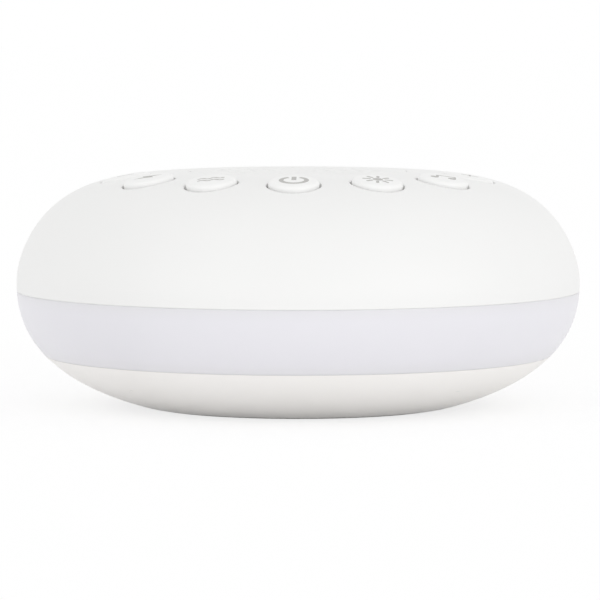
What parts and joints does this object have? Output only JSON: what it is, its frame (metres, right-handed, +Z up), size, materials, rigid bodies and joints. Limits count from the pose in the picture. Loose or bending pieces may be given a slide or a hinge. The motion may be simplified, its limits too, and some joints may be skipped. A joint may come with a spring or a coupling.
{
  "type": "white noise machine",
  "caption": "Round bedside sound machine: pebble-shaped white body, milky light band, arc of push buttons and an upward loudspeaker under a perforated disc.",
  "frame": {"origin": "centre of the body's axis on the surface that it stands on", "axes": "+Z up along the body's axis, -Y to the front where the power button is, +X to the right as seen from above with the front towards the user"},
  "size_m": [0.112, 0.112, 0.0471],
  "materials": {
    "shell_abs": "satin off-white moulded plastic, fine spark-eroded texture",
    "cap_abs": "smooth white moulded plastic with grey printed signs",
    "diffuser_pc": "milky translucent polycarbonate, satin",
    "base_abs": "satin warm white moulded plastic",
    "foot_silicone": "matt pale grey silicone rubber",
    "mesh_steel": "fine woven steel wire, black oxide",
    "black_nylon": "matt black nylon",
    "board_green": "glass-epoxy board under green solder mask",
    "board_white": "board under white solder mask",
    "screw_steel": "zinc-plated steel",
    "foam": "closed-cell foam",
    "frame_steel": "pressed steel, grey lacquer",
    "roll_rubber": "soft black rubber",
    "cone_paper": "pressed black paper pulp",
    "copper_wire": "enamelled copper winding",
    "spider_cloth": "resin-stiffened cotton",
    "ferrite": "sintered ferrite",
    "chamber_abs": "plain moulded plastic",
    "reflector_white": "bright white moulded plastic",
    "led_phosphor": "yellow phosphor under clear resin, unlit",
    "chip_epoxy": "moulded black epoxy",
    "can_aluminium": "drawn aluminium can",
    "connector_nylon": "natural nylon",
    "cell_foil": "laminated aluminium foil",
    "socket_steel": "nickel-plated steel",
    "ribbon_film": "amber polyimide film",
    "lead_pvc": "soft PVC insulation"
  },
  "bodies": {
    "housing": {"top_shell": "shell_abs", "speaker_grille": "shell_abs", "dust_mesh": "mesh_steel", "light_band": "diffuser_pc", "base_shell": "base_abs", "foot_ring": "foot_silicone", "button_board": "board_green", "key_switches": "black_nylon", "button_board_screws": "screw_steel", "speaker_gasket": "foam", "speaker_frame": "frame_steel", "speaker_surround": "roll_rubber", "speaker_spider": "spider_cloth", "speaker_top_plate": "frame_steel", "speaker_magnet": "ferrite", "speaker_yoke": "frame_steel", "speaker_chamber": "chamber_abs", "chamber_screws": "screw_steel", "lead_grommet": "roll_rubber", "reflector_ring": "reflector_white", "led_board": "board_white", "leds": "led_phosphor", "led_board_screws": "screw_steel", "main_board": "board_green", "main_board_screws": "screw_steel", "board_chips": "chip_epoxy", "capacitors": "can_aluminium", "board_connectors": "connector_nylon", "battery_cell": "cell_foil", "battery_pad": "foam", "battery_bracket": "chamber_abs", "bracket_screws": "screw_steel", "inlet_board": "board_green", "inlet_shell": "socket_steel", "inlet_tongue": "black_nylon", "inlet_screws": "screw_steel", "key_ribbon": "ribbon_film", "speaker_leads": "lead_pvc", "battery_leads": "lead_pvc", "led_leads": "lead_pvc", "inlet_leads": "lead_pvc", "case_screws": "screw_steel"},
    "button_minus": {"button_minus": "cap_abs", "plunger_minus": "black_nylon"},
    "button_flash": {"button_flash": "cap_abs", "plunger_flash": "black_nylon"},
    "button_wave": {"button_wave": "cap_abs", "plunger_wave": "black_nylon"},
    "button_power": {"button_power": "cap_abs", "plunger_power": "black_nylon"},
    "button_light": {"button_light": "cap_abs", "plunger_light": "black_nylon"},
    "button_melody": {"button_melody": "cap_abs", "plunger_melody": "black_nylon"},
    "button_plus": {"button_plus": "cap_abs", "plunger_plus": "black_nylon"},
    "speaker_cone": {"speaker_cone": "cone_paper", "speaker_dust_cap": "cone_paper", "voice_coil": "copper_wire"}
  },
  "joints": [
    {"name": "press_minus", "type": "slide", "parent": "housing", "child": "button_minus", "axis": [0, 0, -1], "range_m": [0, 0.0008], "stiffness_N_per_m": 1500},
    {"name": "press_flash", "type": "slide", "parent": "housing", "child": "button_flash", "axis": [0, 0, -1], "range_m": [0, 0.0008], "stiffness_N_per_m": 1500},
    {"name": "press_wave", "type": "slide", "parent": "housing", "child": "button_wave", "axis": [0, 0, -1], "range_m": [0, 0.0008], "stiffness_N_per_m": 1500},
    {"name": "press_power", "type": "slide", "parent": "housing", "child": "button_power", "axis": [0, 0, -1], "range_m": [0, 0.0008], "stiffness_N_per_m": 1500},
    {"name": "press_light", "type": "slide", "parent": "housing", "child": "button_light", "axis": [0, 0, -1], "range_m": [0, 0.0008], "stiffness_N_per_m": 1500},
    {"name": "press_melody", "type": "slide", "parent": "housing", "child": "button_melody", "axis": [0, 0, -1], "range_m": [0, 0.0008], "stiffness_N_per_m": 1500},
    {"name": "press_plus", "type": "slide", "parent": "housing", "child": "button_plus", "axis": [0, 0, -1], "range_m": [0, 0.0008], "stiffness_N_per_m": 1500},
    {"name": "cone_stroke", "type": "slide", "parent": "housing", "child": "speaker_cone", "axis": [0, 0, 1], "range_m": [-0.0008, 0.0008], "stiffness_N_per_m": 1200, "deforming": ["speaker_surround", "speaker_spider"]}
  ]
}
